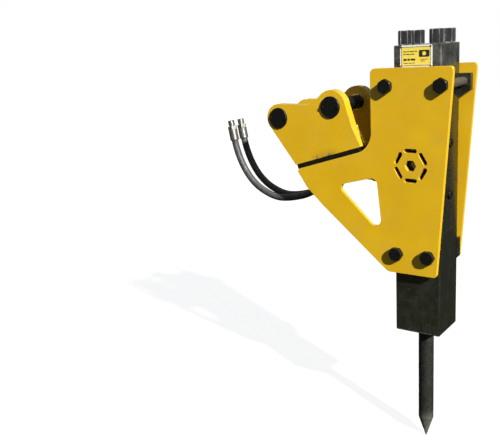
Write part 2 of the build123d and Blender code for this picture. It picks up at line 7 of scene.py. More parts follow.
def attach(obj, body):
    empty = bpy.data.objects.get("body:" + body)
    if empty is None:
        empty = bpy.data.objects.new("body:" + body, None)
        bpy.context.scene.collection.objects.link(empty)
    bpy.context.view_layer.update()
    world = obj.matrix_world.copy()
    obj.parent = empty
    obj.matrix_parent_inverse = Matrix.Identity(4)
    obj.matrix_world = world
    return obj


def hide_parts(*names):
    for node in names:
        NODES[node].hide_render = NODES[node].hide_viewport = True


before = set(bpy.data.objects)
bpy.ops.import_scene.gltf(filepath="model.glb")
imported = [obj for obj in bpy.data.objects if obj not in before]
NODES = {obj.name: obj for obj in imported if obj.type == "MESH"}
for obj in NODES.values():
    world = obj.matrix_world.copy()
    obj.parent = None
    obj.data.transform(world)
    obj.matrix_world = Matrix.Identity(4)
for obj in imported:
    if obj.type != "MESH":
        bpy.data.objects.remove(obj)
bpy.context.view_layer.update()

# Hydraulic breaker hammer in a side-plate bracket: finishes, welds, threads, label and hoses laid
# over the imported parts.  Metres, origin on the arm pin's axis, +X towards the breaker, +Z up it.

# ---- sizes taken over from the design, in metres ------------------------------------------------
AXIS_X = 0.431                     # breaker axis
HALF = 0.0945                      # outer faces of plates and ears
PLATE_IN = 0.0825
EAR_IN = 0.0645
RAMP_START = Vector((0.0646, 0.0, -0.15195))
RAMP_ANGLE = math.radians(15.7)
RAMP_U = Vector((math.cos(RAMP_ANGLE), 0.0, math.sin(RAMP_ANGLE)))
RAMP_N = Vector((-math.sin(RAMP_ANGLE), 0.0, math.cos(RAMP_ANGLE)))
BASE_T = 0.014
UPPER_BOLT_X = (AXIS_X - 0.078, AXIS_X + 0.078)
UPPER_BOLT_Z = 0.0885
NUT_H = 0.0215
FRONT_FOOT_Z = -0.6225
CONE_FOOT_Z = -0.923
TIP_Z = -0.988
LABEL_FACE_Y = -0.0682
LABEL_MIDDLE = (0.4284, 0.164)
LABEL_W, LABEL_H = 0.090, 0.058


# ---- camera -------------------------------------------------------------------------------------
CAMERA_PLACE = (1.19359, -1.86219, 0.21177)
CAMERA_RIGHT = (0.80730004, 0.58721286, -0.05871719)
CAMERA_DOWN = (0.09659833, -0.22964351, -0.96846921)
LENS, SENSOR = 50.378, 36.0


def make_camera():
    right = Vector(CAMERA_RIGHT).normalized()
    down = Vector(CAMERA_DOWN).normalized()
    back = right.cross(-down)
    data = bpy.data.cameras.new("camera")
    data.lens, data.sensor_width = LENS, SENSOR
    data.clip_end = 60.0
    camera = bpy.data.objects.new("camera", data)
    turn = Matrix((right, -down, back)).transposed()
    camera.matrix_world = Matrix.Translation(CAMERA_PLACE) @ turn.to_4x4()
    bpy.context.scene.collection.objects.link(camera)
    bpy.context.scene.camera = camera


make_camera()


# ---- hoses --------------------------------------------------------------------------------------
HOSE_Y = 0.026
HOSE_DIA = 0.022
HOSE_LENGTH = 0.5898
WRAP_PITCH = 0.0042                # print of the curing wrap along the cover
HOSE_ROUTE = [
    (0.243, -0.171), (0.154, -0.171), (0.068, -0.241), (-0.015, -0.263),
    (-0.081, -0.264), (-0.163, -0.221), (-0.216, -0.134), (-0.2252, -0.0828),
]


def hose_curve(name, y):
    """One smooth spline on the route's own points, with the hose's section along it."""
    data = bpy.data.curves.new(name, "CURVE")
    data.dimensions = "3D"
    spline = data.splines.new("NURBS")
    spline.points.add(len(HOSE_ROUTE) - 1)
    for point, (x, z) in zip(spline.points, HOSE_ROUTE):
        point.co = (x, y, z, 1.0)
    spline.order_u = 3
    spline.use_endpoint_u = True
    spline.resolution_u = 24
    data.bevel_depth = HOSE_DIA / 2
    data.bevel_resolution = 8
    data.use_fill_caps = True
    hose = bpy.data.objects.new(name, data)
    bpy.context.scene.collection.objects.link(hose)
    return hose


HOSES = {"supply": hose_curve("supply_hose", -HOSE_Y), "return": hose_curve("return_hose", HOSE_Y)}


# ---- node webs ----------------------------------------------------------------------------------
class Web:
    """Adds nodes to one tree; every argument is a plain value or the socket that feeds it."""

    def __init__(self, tree):
        self.tree = tree

    def node(self, kind, feeds=(), **settings):
        made = self.tree.nodes.new(kind)
        for key, value in settings.items():
            setattr(made, key, value)
        for key, value in dict(feeds).items():
            socket = made.inputs[key]
            if isinstance(value, bpy.types.NodeSocket):
                self.tree.links.new(value, socket)
            else:
                socket.default_value = value
        return made

    def place(self, scale=(1.0, 1.0, 1.0)):
        """Position on the piece, stretched by scale."""
        coord = self.node("ShaderNodeTexCoord").outputs["Object"]
        if tuple(scale) == (1.0, 1.0, 1.0):
            return coord
        return self.node("ShaderNodeMapping", {"Vector": coord, "Scale": scale}).outputs["Vector"]

    def noise(self, scale, detail=2.0, rough=0.5, where=None):
        feeds = {"Scale": scale, "Detail": detail, "Roughness": rough,
                 "Vector": self.place() if where is None else where}
        return self.node("ShaderNodeTexNoise", feeds).outputs["Fac"]

    def math(self, operation, a, b=0.0, clamp=False):
        return self.node("ShaderNodeMath", {0: a, 1: b}, operation=operation, use_clamp=clamp).outputs[0]

    def dot(self, a, b):
        return self.node("ShaderNodeVectorMath", {0: a, 1: b}, operation="DOT_PRODUCT").outputs["Value"]

    def part(self, vector, axis):
        """One component of a vector: X, Y or Z."""
        return self.node("ShaderNodeSeparateXYZ", {0: vector}).outputs[axis]

    def facing(self, axis):
        """How far the surface looks along an axis, from -1 to 1."""
        return self.part(self.node("ShaderNodeNewGeometry").outputs["Normal"], axis)

    def between(self, value, low, high, to_low=0.0, to_high=1.0):
        feeds = {"Value": value, "From Min": low, "From Max": high, "To Min": to_low, "To Max": to_high}
        return self.node("ShaderNodeMapRange", feeds).outputs["Result"]

    def mix(self, factor, a, b):
        """Blend of two colours."""
        feeds = {"Factor": factor, "A": a, "B": b}
        made = self.tree.nodes.new("ShaderNodeMix")
        made.data_type = "RGBA"
        for key, value in feeds.items():
            socket = [s for s in made.inputs if s.name == key and s.enabled][0]
            if isinstance(value, bpy.types.NodeSocket):
                self.tree.links.new(value, socket)
            else:
                socket.default_value = value if key == "Factor" else (*value, 1.0)
        return [s for s in made.outputs if s.enabled][0]

    def group(self, tree, **feeds):
        made = self.node("ShaderNodeGroup", node_tree=tree)
        for key, value in feeds.items():
            socket = made.inputs[key.replace("_", " ")]
            if isinstance(value, bpy.types.NodeSocket):
                self.tree.links.new(value, socket)
            else:
                socket.default_value = value
        return made.outputs[0]


def effect(name, inputs, output):
    """Empty shader group with named number inputs and one number output."""
    tree = bpy.data.node_groups.new(name, "ShaderNodeTree")
    for key, value in inputs.items():
        socket = tree.interface.new_socket(name=key, in_out="INPUT", socket_type="NodeSocketFloat")
        socket.default_value = value
    tree.interface.new_socket(name=output, in_out="OUTPUT", socket_type="NodeSocketFloat")
    web = Web(tree)
    return tree, web, web.node("NodeGroupInput").outputs, web.node("NodeGroupOutput").inputs


def rubbed_edges():
    """Mask along the outer corners of a part, broken up by noise."""
    tree, web, given, result = effect(
        "rubbed_edges", {"Width": 0.0015, "Patch Scale": 260.0, "Amount": 0.5}, "Mask")
    soft = web.node("ShaderNodeBevel", {"Radius": given["Width"]}, samples=6).outputs["Normal"]
    hard = web.node("ShaderNodeNewGeometry").outputs["Normal"]
    corner = web.between(web.dot(soft, hard), 0.995, 0.86)
    patch = web.noise(given["Patch Scale"], 5.0, 0.65)
    reach = web.math("SUBTRACT", 0.78, web.math("MULTIPLY", given["Amount"], 0.5))
    broken = web.between(patch, reach, web.math("ADD", reach, 0.06))
    web.tree.links.new(web.math("MULTIPLY", corner, broken, True), result["Mask"])
    return tree


def settled_dust():
    """Mask of dust that lies on faces that look up and in blotches elsewhere."""
    tree, web, given, result = effect(
        "settled_dust", {"Top": 0.6, "Blotch": 0.15, "Scale": 22.0}, "Mask")
    lying = web.math("MULTIPLY", web.between(web.facing("Z"), 0.35, 0.95), given["Top"])
    cloud = web.noise(given["Scale"], 6.0, 0.62)
    fine = web.noise(900.0, 2.0, 0.6)
    blotch = web.math("MULTIPLY", web.between(cloud, 0.48, 0.72), given["Blotch"])
    grain = web.between(fine, 0.25, 0.75, 0.55, 1.2)
    whole = web.math("MULTIPLY", web.math("ADD", lying, blotch), grain)
    web.tree.links.new(web.math("MINIMUM", whole, 1.0), result["Mask"])
    return tree


def sprayed_coat():
    """Height of a sprayed paint film: soft orange peel with a little dirt in it."""
    tree, web, given, result = effect(
        "sprayed_coat", {"Peel Scale": 420.0, "Grit": 0.2}, "Height")
    peel = web.noise(given["Peel Scale"], 1.5, 0.4)
    roll = web.noise(46.0, 2.0, 0.5)
    grit = web.between(web.noise(1500.0, 1.0, 0.5), 0.66, 0.74)
    height = web.math("ADD", web.math("MULTIPLY", peel, 0.5), web.math("MULTIPLY", roll, 1.1))
    height = web.math("ADD", height, web.math("MULTIPLY", grit, given["Grit"]))
    web.tree.links.new(height, result["Height"])
    return tree


def run_streaks():
    """Mask of rain and oil streaks that run down the upright faces."""
    tree, web, given, result = effect("run_streaks", {"Low": 0.5, "High": 0.75, "Width": 130.0}, "Mask")
    stretched = web.place((1.0, 1.0, 0.045))
    streak = web.noise(given["Width"], 4.0, 0.6, stretched)
    gate = web.between(web.noise(14.0, 3.0), 0.38, 0.62)
    runs = web.between(streak, given["Low"], given["High"])
    web.tree.links.new(web.math("MULTIPLY", runs, gate, True), result["Mask"])
    return tree


def hammer_specks():
    """Mask of small pits and knocks."""
    tree, web, given, result = effect("hammer_specks", {"Scale": 300.0, "Cover": 0.4}, "Mask")
    limit = web.math("SUBTRACT", 0.72, web.math("MULTIPLY", given["Cover"], 0.3))
    pits = web.between(web.noise(given["Scale"], 4.0, 0.7), limit, web.math("ADD", limit, 0.07))
    web.tree.links.new(pits, result["Mask"])
    return tree


EDGES, DUST, COAT, STREAKS, SPECKS = (
    rubbed_edges(), settled_dust(), sprayed_coat(), run_streaks(), hammer_specks())


def finish_material(name, metallic=0.0, **constants):
    """New material: its web, its Principled shader, ready for feeds."""
    material = bpy.data.materials.new(name)
    material.use_nodes = True
    tree = material.node_tree
    shader = tree.nodes["Principled BSDF"]
    shader.inputs["Metallic"].default_value = metallic
    for key, value in constants.items():
        shader.inputs[key.replace("_", " ")].default_value = value
    return material, Web(tree), shader


def join(web, shader, colour, rough, height=None, depth=0.0002, metal=None, coat=None):
    """Feed a shader; depth is the relief in metres that a height of one stands for."""
    feeds = {"Base Color": colour, "Roughness": rough, "Metallic": metal, "Coat Weight": coat}
    for key, value in feeds.items():
        if value is not None:
            web.tree.links.new(value, shader.inputs[key])
    if height is not None:
        bump = web.node("ShaderNodeBump", {"Height": height, "Distance": depth, "Strength": 1.0})
        web.tree.links.new(bump.outputs["Normal"], shader.inputs["Normal"])


# ---- finishes -----------------------------------------------------------------------------------
YELLOW = (0.690, 0.425, 0.0085)
YELLOW_DEEP = (0.640, 0.375, 0.0065)
DUST_TINT = (0.30, 0.245, 0.155)
YELLOW_RUBBED = (0.16, 0.095, 0.012)
BLACKING = (0.0028, 0.0028, 0.0030)
BLACKING_THIN = (0.0075, 0.0072, 0.0072)
PAINT_RELIEF = 0.00012


def dusty_yellow(web, blotch):
    """Mottled machine yellow with dust on it: its colour and the dust's mask."""
    mottle = web.between(web.noise(9.0, 4.0, 0.55), 0.3, 0.7)
    dust = web.group(DUST, Top=0.22, Blotch=blotch, Scale=16.0)
    return web.mix(dust, web.mix(mottle, YELLOW_DEEP, YELLOW), DUST_TINT), dust


def rubbed_yellow(web, colour):
    edge = web.group(EDGES, Width=0.0014, Patch_Scale=230.0, Amount=0.42)
    return web.mix(edge, colour, YELLOW_RUBBED)


def satin(web, spoiled, amount):
    """Roughness of the yellow film, raised where it is spoiled."""
    film = web.between(web.noise(30.0, 4.0), 0.3, 0.7, 0.36, 0.46)
    return web.math("ADD", film, web.math("MULTIPLY", spoiled, amount))


def yellow_paint():
    """Sprayed machine yellow, faintly mottled, with dust and rubbed corners."""
    material, web, shader = finish_material("yellow_paint", Coat_Roughness=0.18, Coat_Weight=0.25)
    colour, dust = dusty_yellow(web, 0.10)
    coat = web.group(COAT, Peel_Scale=420.0, Grit=0.15)
    join(web, shader, rubbed_yellow(web, colour), satin(web, dust, 0.4), coat, PAINT_RELIEF)
    return material


def chipped_yellow():
    """The ears' paint: the same yellow, knocked off along the foot of the plate."""
    material, web, shader = finish_material("chipped_yellow", Coat_Roughness=0.18, Coat_Weight=0.25)
    colour, _ = dusty_yellow(web, 0.12)
    # Height above the base plate and place along it, in metres.
    away = web.node("ShaderNodeVectorMath", {0: web.place(), 1: RAMP_START + RAMP_N * BASE_T},
                    operation="SUBTRACT").outputs[0]
    above, along = web.dot(away, RAMP_N), web.dot(away, RAMP_U)
    middle = web.math("MULTIPLY", web.between(along, 0.052, 0.072), web.between(along, 0.150, 0.128))
    patch = web.between(web.noise(110.0, 3.0, 0.5), 0.45, 0.56)
    low = web.math("MULTIPLY", web.between(above, 0.016, 0.002), middle)
    chips = web.math("MULTIPLY", low, patch)
    stain = web.math("MULTIPLY", web.between(above, 0.026, 0.002), middle)
    colour = web.mix(web.math("MULTIPLY", stain, 0.45), colour, (0.34, 0.215, 0.02))
    colour = web.mix(web.math("MULTIPLY", chips, 0.8), colour, (0.150, 0.100, 0.014))
    coat = web.group(COAT, Peel_Scale=420.0, Grit=0.15)
    height = web.math("SUBTRACT", coat, web.math("MULTIPLY", chips, 1.6))
    join(web, shader, rubbed_yellow(web, colour), satin(web, chips, 0.3), height, PAINT_RELIEF)
    return material


def black_enamel():
    """Black chassis enamel of the breaker's body with streaks and dust, painted light on the back head's
    front and corners and painted shade between the plates.
    """
    material, web, shader = finish_material("black_enamel", IOR=1.75, Specular_IOR_Level=0.6)
    height_z = web.part(web.place(), "Z")
    streak = web.group(STREAKS, Low=0.50, High=0.74, Width=150.0)
    dust = web.group(DUST, Top=0.5, Blotch=0.30, Scale=26.0)
    colour = web.mix(web.noise(60.0, 4.0), (0.0068, 0.0082, 0.0044), (0.0108, 0.0124, 0.0072))
    colour = web.mix(web.math("MULTIPLY", streak, 0.13), colour, (0.060, 0.060, 0.052))
    colour = web.mix(web.math("MULTIPLY", dust, 0.16), colour, (0.070, 0.069, 0.058))
    scuff = web.group(SPECKS, Scale=85.0, Cover=0.34)
    colour = web.mix(web.math("MULTIPLY", scuff, 0.30), colour, (0.110, 0.108, 0.098))
    # Handling film, strongest on the front of the back head; making it strongest on the faces looking
    # towards -Y is painted light that lightens that side.
    film = web.between(web.noise(26.0, 5.0, 0.60), 0.38, 0.72, 0.04, 1.0)
    front = web.between(web.facing("Y"), -0.2, -0.9, 0.30, 1.0)
    upper = web.between(height_z, 0.090, 0.150, 0.08, 1.0)
    film = web.math("MULTIPLY", web.math("MULTIPLY", film, front), upper)
    colour = web.mix(film, colour, (0.165, 0.162, 0.152))
    # Partly corner wear, partly painted highlight: the back head's corners are lightened to stand in for
    # the key light's glint on them.
    rim_wear_and_painted_highlight = web.math("MULTIPLY", web.group(EDGES, Width=0.0022, Patch_Scale=120.0, Amount=0.8), 0.35)
    colour = web.mix(web.math("MULTIPLY", rim_wear_and_painted_highlight, upper), colour, (0.30, 0.295, 0.28))
    # Painted shade: the faces looking towards +X between the plates are darkened nearly to black; bare
    # along the foot.
    between_plates = web.between(height_z, 0.090, 0.060, 0.0, 0.62)
    painted_shade_between_plates = web.math("MULTIPLY", web.between(web.facing("X"), 0.3, 0.9), between_plates)
    colour = web.mix(painted_shade_between_plates, colour, (0.0020, 0.0024, 0.0012))
    foot = web.between(height_z, FRONT_FOOT_Z + 0.005, FRONT_FOOT_Z + 0.001)
    bright = web.math("MULTIPLY", foot, web.between(web.noise(75.0, 3.0), 0.44, 0.56))
    colour = web.mix(web.math("MULTIPLY", bright, 0.7), colour, (0.22, 0.21, 0.19))
    edge = web.group(EDGES, Width=0.0016, Patch_Scale=210.0, Amount=0.5)
    colour = web.mix(edge, colour, (0.13, 0.125, 0.115))
    rough = web.between(web.noise(24.0, 5.0, 0.6), 0.3, 0.7, 0.17, 0.30)
    rough = web.math("ADD", rough, web.math("MULTIPLY", web.math("ADD", streak, dust), 0.20))
    height = web.group(COAT, Peel_Scale=300.0, Grit=0.12)
    join(web, shader, colour, rough, height, 0.00007)
    return material


def black_primer():
    """Thin flat black of the base plate, dusty where it looks up."""
    material, web, shader = finish_material("black_primer")
    dust = web.group(DUST, Top=0.8, Blotch=0.05, Scale=30.0)
    colour = web.mix(web.noise(45.0, 4.0), (0.0022, 0.0012, 0.0006), (0.0060, 0.0034, 0.0016))
    colour = web.mix(web.math("MULTIPLY", dust, 0.3), colour, (0.10, 0.09, 0.065))
    edge = web.group(EDGES, Width=0.001, Patch_Scale=300.0, Amount=0.5)
    colour = web.mix(web.math("MULTIPLY", edge, 0.4), colour, (0.10, 0.07, 0.05))
    rough = web.between(web.noise(38.0, 4.0), 0.3, 0.7, 0.38, 0.52)
    join(web, shader, colour, rough, web.group(COAT, Peel_Scale=700.0, Grit=0.8), 0.0002)
    return material


def black_bolt():
    """Blacked bolt steel under a thin oiled coat."""
    material, web, shader = finish_material(
        "black_bolt", Coat_Roughness=0.22, Coat_Weight=0.06, Specular_IOR_Level=0.2)
    wipe = web.noise(120.0, 4.0, 0.6)
    colour = web.mix(wipe, BLACKING, BLACKING_THIN)
    edge = web.group(EDGES, Width=0.0009, Patch_Scale=420.0, Amount=0.55)
    colour = web.mix(web.math("MULTIPLY", edge, 0.7), colour, (0.11, 0.105, 0.10))
    dust = web.group(DUST, Top=0.35, Blotch=0.03, Scale=60.0)
    colour = web.mix(web.math("MULTIPLY", dust, 0.08), colour, (0.10, 0.09, 0.07))
    rough = web.between(wipe, 0.3, 0.7, 0.38, 0.54)
    join(web, shader, colour, rough, web.noise(800.0, 2.0), 0.00003)
    return material


def nut_painted_corner_glints():
    """Tall rod nuts: dark enamel with painted highlights, a bright metal colour painted along the upright
    corners.
    """
    material, web, shader = finish_material("nut_painted_corner_glints", Coat_Roughness=0.15, Coat_Weight=0.5)
    cloud = web.noise(70.0, 5.0, 0.65)
    colour = web.mix(cloud, (0.0075, 0.0080, 0.0095), (0.026, 0.0265, 0.028))
    smear = web.group(STREAKS, Low=0.46, High=0.68, Width=190.0)
    colour = web.mix(web.math("MULTIPLY", smear, 0.3), colour, (0.11, 0.11, 0.105))
    # Painted highlight: the upright corners get a bright metal colour that stands in for the key light's
    # glints, broken up by noise.
    soft = web.node("ShaderNodeBevel", {"Radius": 0.0034}, samples=8).outputs["Normal"]
    hard = web.node("ShaderNodeNewGeometry").outputs["True Normal"]
    upright = web.noise(30.0, 4.0, 0.6, web.place((1.0, 1.0, 0.35)))
    corner = web.math("MULTIPLY", web.between(web.dot(soft, hard), 0.990, 0.955),
                      web.between(upright, 0.42, 0.62, 0.12, 1.0))
    colour = web.mix(corner, colour, (0.62, 0.62, 0.60))
    rough = web.between(cloud, 0.3, 0.7, 0.24, 0.40)
    join(web, shader, colour, rough, web.noise(500.0, 3.0), 0.00006)
    return material


def long_bolt():
    """Through bolts: blacked outside the plates, bare weathered shank between them."""
    material, web, shader = finish_material("long_bolt", Coat_Roughness=0.22, Specular_IOR_Level=0.2)
    depth = web.math("ABSOLUTE", web.part(web.place(), "Y"))
    inside = web.between(depth, HALF + 0.0002, HALF - 0.0008)
    rust = web.between(web.noise(150.0, 6.0, 0.65), 0.42, 0.66)
    bare = web.mix(rust, (0.155, 0.140, 0.120), (0.085, 0.062, 0.045))
    black = web.mix(web.noise(120.0, 4.0), BLACKING, BLACKING_THIN)
    edge = web.group(EDGES, Width=0.0009, Patch_Scale=420.0, Amount=0.55)
    colour = web.mix(edge, web.mix(inside, black, bare), (0.12, 0.11, 0.10))
    grain = web.noise(60.0, 3.0, 0.6, web.place((1.0, 30.0, 1.0)))
    rough = web.math("ADD", web.between(inside, 0.0, 1.0, 0.42, 0.36), web.math("MULTIPLY", grain, 0.15))
    coat = web.between(inside, 0.0, 1.0, 0.05, 0.0)
    metal = web.math("MULTIPLY", inside, 0.5)
    join(web, shader, colour, rough, web.noise(800.0, 2.0), 0.00003, metal, coat)
    return material


def worked_steel():
    """Chisel: dark forge skin, knocked and scuffed, worn brighter towards the point."""
    material, web, shader = finish_material("worked_steel")
    point = web.between(web.part(web.place(), "Z"), CONE_FOOT_Z + 0.030, CONE_FOOT_Z - 0.020)
    specks = web.group(SPECKS, Scale=260.0, Cover=0.62)
    scale = web.between(web.noise(55.0, 6.0, 0.7), 0.38, 0.66)
    streak = web.group(STREAKS, Low=0.46, High=0.66, Width=240.0)
    colour = web.mix(scale, (0.0075, 0.0085, 0.0068), (0.019, 0.020, 0.0165))
    colour = web.mix(web.math("MULTIPLY", specks, 0.35), colour, (0.065, 0.063, 0.054))
    flecks = web.group(SPECKS, Scale=150.0, Cover=0.22)
    colour = web.mix(web.math("MULTIPLY", flecks, 0.8), colour, (0.20, 0.20, 0.185))
    colour = web.mix(web.math("MULTIPLY", streak, 0.30), colour, (0.008, 0.008, 0.0065))
    worn = web.math("MULTIPLY", point, web.between(web.noise(90.0, 5.0, 0.7), 0.30, 0.62, 0.35, 1.0))
    colour = web.mix(web.math("MULTIPLY", worn, 0.75), colour, (0.250, 0.245, 0.205))
    edge = web.group(EDGES, Width=0.0018, Patch_Scale=180.0, Amount=0.8)
    colour = web.mix(edge, colour, (0.30, 0.28, 0.25))
    rough = web.between(web.noise(120.0, 5.0, 0.7), 0.3, 0.7, 0.42, 0.66)
    metal = web.between(worn, 0.0, 1.0, 0.20, 0.45)
    pits = web.math("SUBTRACT", web.noise(240.0, 4.0, 0.6), web.math("MULTIPLY", specks, 0.6))
    join(web, shader, colour, rough, pits, 0.0004, metal)
    return material


def ground_steel():
    """Ground sliding surfaces: fine circumferential lines."""
    material, web, shader = finish_material("ground_steel", metallic=1.0)
    lines = web.noise(40.0, 4.0, 0.7, web.place((1.0, 1.0, 60.0)))
    colour = web.mix(lines, (0.42, 0.42, 0.41), (0.58, 0.57, 0.55))
    join(web, shader, colour, web.between(lines, 0.3, 0.7, 0.18, 0.30), lines, 0.00002)
    return material


def bush_bronze():
    """Turned aluminium bronze, dulled by grease."""
    material, web, shader = finish_material("bush_bronze", metallic=1.0)
    turned = web.noise(30.0, 3.0, 0.6, web.place((1.0, 40.0, 1.0)))
    tarnish = web.between(web.noise(70.0, 5.0, 0.6), 0.40, 0.68)
    colour = web.mix(tarnish, (0.62, 0.44, 0.20), (0.30, 0.20, 0.10))
    join(web, shader, colour, web.between(turned, 0.3, 0.7, 0.28, 0.45), turned, 0.00003)
    return material


def zinc_plate():
    """Bright zinc on hose fittings, clouded by handling."""
    material, web, shader = finish_material("zinc_plate", metallic=1.0)
    cloud = web.between(web.noise(80.0, 6.0, 0.65), 0.35, 0.68)
    colour = web.mix(cloud, (0.60, 0.60, 0.58), (0.36, 0.355, 0.34))
    edge = web.group(EDGES, Width=0.0007, Patch_Scale=500.0, Amount=0.8)
    colour = web.mix(edge, colour, (0.75, 0.75, 0.74))
    dust = web.group(DUST, Top=0.35, Blotch=0.25, Scale=70.0)
    colour = web.mix(web.math("MULTIPLY", dust, 0.5), colour, (0.25, 0.20, 0.14))
    rough = web.between(cloud, 0.0, 1.0, 0.26, 0.42)
    join(web, shader, colour, rough, web.noise(700.0, 3.0), 0.00003)
    return material


def hose_rubber():
    """Black hose cover with the close diagonal print of its curing wrap."""
    material, web, shader = finish_material("hose_rubber")
    along = web.node("ShaderNodeTexCoord").outputs["UV"]
    turns = web.math("MULTIPLY", web.part(along, "X"), HOSE_LENGTH / WRAP_PITCH)
    helix = web.math("ADD", turns, web.part(along, "Y"))
    ridge = web.between(web.math("PINGPONG", helix, 0.5), 0.0, 0.16)
    rub = web.between(web.noise(60.0, 6.0, 0.65), 0.42, 0.70)
    colour = web.mix(web.math("MULTIPLY", rub, 0.7), (0.034, 0.035, 0.036), (0.105, 0.106, 0.106))
    dust = web.group(DUST, Top=0.7, Blotch=0.2, Scale=55.0)
    colour = web.mix(web.math("MULTIPLY", dust, 0.45), colour, (0.17, 0.165, 0.15))
    rough = web.between(web.noise(90.0, 4.0), 0.3, 0.7, 0.40, 0.56)
    pores = web.math("MULTIPLY", web.noise(900.0, 2.0), 0.4)
    height = web.math("ADD", web.math("MULTIPLY", ridge, 0.8), pores)
    join(web, shader, colour, rough, height, 0.00018)
    return material


def seal_rubber():
    """Seals and plugs, greyed by bloom."""
    material, web, shader = finish_material("seal_rubber")
    bloom = web.between(web.noise(140.0, 5.0, 0.6), 0.40, 0.72)
    colour = web.mix(bloom, (0.008, 0.008, 0.008), (0.03, 0.029, 0.027))
    join(web, shader, colour, web.between(bloom, 0.0, 1.0, 0.45, 0.62), web.noise(600.0, 3.0), 0.00005)
    return material


def weld_yellow():
    """Painted weld beads: thick paint over the ripples, spatter and grit."""
    material, web, shader = finish_material("weld_yellow", Coat_Weight=0.2, Coat_Roughness=0.2)
    bare = web.between(web.noise(240.0, 5.0, 0.65), 0.57, 0.66)
    colour = web.mix(web.noise(70.0, 4.0), YELLOW_DEEP, (0.74, 0.50, 0.045))
    colour = web.mix(web.math("MULTIPLY", bare, 0.6), colour, (0.80, 0.72, 0.50))
    rough = web.between(web.noise(150.0, 3.0), 0.3, 0.7, 0.34, 0.52)
    join(web, shader, colour, rough, web.noise(650.0, 3.0), 0.0002)
    return material


def enamel(name, tint, shade):
    """Printed enamel of the label: one ink, slightly chalked and scratched."""
    material, web, shader = finish_material(name)
    chalk = web.between(web.noise(180.0, 5.0, 0.65), 0.35, 0.75)
    colour = web.mix(chalk, tint, shade)
    scratch = web.between(web.noise(90.0, 3.0, 0.6, web.place((1.0, 1.0, 14.0))), 0.68, 0.71)
    colour = web.mix(web.math("MULTIPLY", scratch, 0.35), colour, (0.20, 0.19, 0.16))
    dust = web.group(DUST, Top=0.4, Blotch=0.25, Scale=60.0)
    colour = web.mix(web.math("MULTIPLY", dust, 0.35), colour, DUST_TINT)
    join(web, shader, colour, web.between(chalk, 0.0, 1.0, 0.30, 0.45), web.noise(900.0, 2.0), 0.00002)
    return material


PAINT = yellow_paint()
EAR_PAINT = chipped_yellow()
ENAMEL = black_enamel()
PRIMER = black_primer()
BOLT = black_bolt()
NUT = nut_painted_corner_glints()
LONG_BOLT = long_bolt()
CHISEL = worked_steel()
GROUND = ground_steel()
BRONZE = bush_bronze()
ZINC = zinc_plate()
RUBBER = hose_rubber()
SEAL = seal_rubber()
WELD = weld_yellow()
WHITE_INK = enamel("white_ink", (0.86, 0.85, 0.78), (0.76, 0.75, 0.68))
STRAW_INK = enamel("straw_ink", (0.88, 0.72, 0.115), (0.80, 0.61, 0.080))
BLACK_INK = enamel("black_ink", (0.012, 0.012, 0.011), (0.035, 0.034, 0.030))


# ---- making and placing pieces ------------------------------------------------------------------
MERGE_DIST = 4e-6                  # corners of neighbouring triangles closer than this are one
FLAT_ANGLE = math.radians(0.7)     # faces that differ by less than this are one
CORNER_ANGLE = math.radians(28.0)  # edges sharper than this get rounded


def new_piece(name, mesh, body="hammer", material=None):
    piece = bpy.data.objects.new(name, mesh)
    bpy.context.scene.collection.objects.link(piece)
    if material is not None:
        mesh.materials.clear()
        mesh.materials.append(material)
    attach(piece, body)
    return piece


def settle(name, working):
    """Plain mesh of a working object with its modifiers taken in; the working object goes."""
    bpy.context.view_layer.update()
    graph = bpy.context.evaluated_depsgraph_get()
    mesh = bpy.data.meshes.new_from_object(
        working.evaluated_get(graph), preserve_all_data_layers=True, depsgraph=graph)
    mesh.name = name
    data = working.data
    bpy.data.objects.remove(working)
    if isinstance(data, bpy.types.Curve):
        bpy.data.curves.remove(data)
    return mesh


def merged_copy(node):
    """The CAD part's own shape as a bmesh, its loose triangles merged into clean faces."""
    bm = bmesh.new()
    bm.from_mesh(NODES[node].data)
    bmesh.ops.remove_doubles(bm, verts=bm.verts, dist=MERGE_DIST)
    bmesh.ops.dissolve_limit(bm, angle_limit=FLAT_ANGLE, verts=bm.verts, edges=bm.edges)
    return bm


def rounded_copy(node, edge):
    """The CAD part's own shape with its corners rounded."""
    bm = merged_copy(node)
    for face in bm.faces:
        face.smooth = True
    mesh = bpy.data.meshes.new(node + "_work")
    bm.to_mesh(mesh)
    bm.free()
    work = bpy.data.objects.new(node + "_work", mesh)
    bpy.context.scene.collection.objects.link(work)
    bevel = work.modifiers.new("corners", "BEVEL")
    bevel.width, bevel.segments = edge, 2
    bevel.limit_method, bevel.angle_limit = "ANGLE", CORNER_ANGLE
    bevel.use_clamp_overlap = True
    bevel.miter_outer = "MITER_ARC"
    even = work.modifiers.new("even", "WEIGHTED_NORMAL")
    even.weight, even.keep_sharp = 80, False
    return settle(node + "_finish", work)


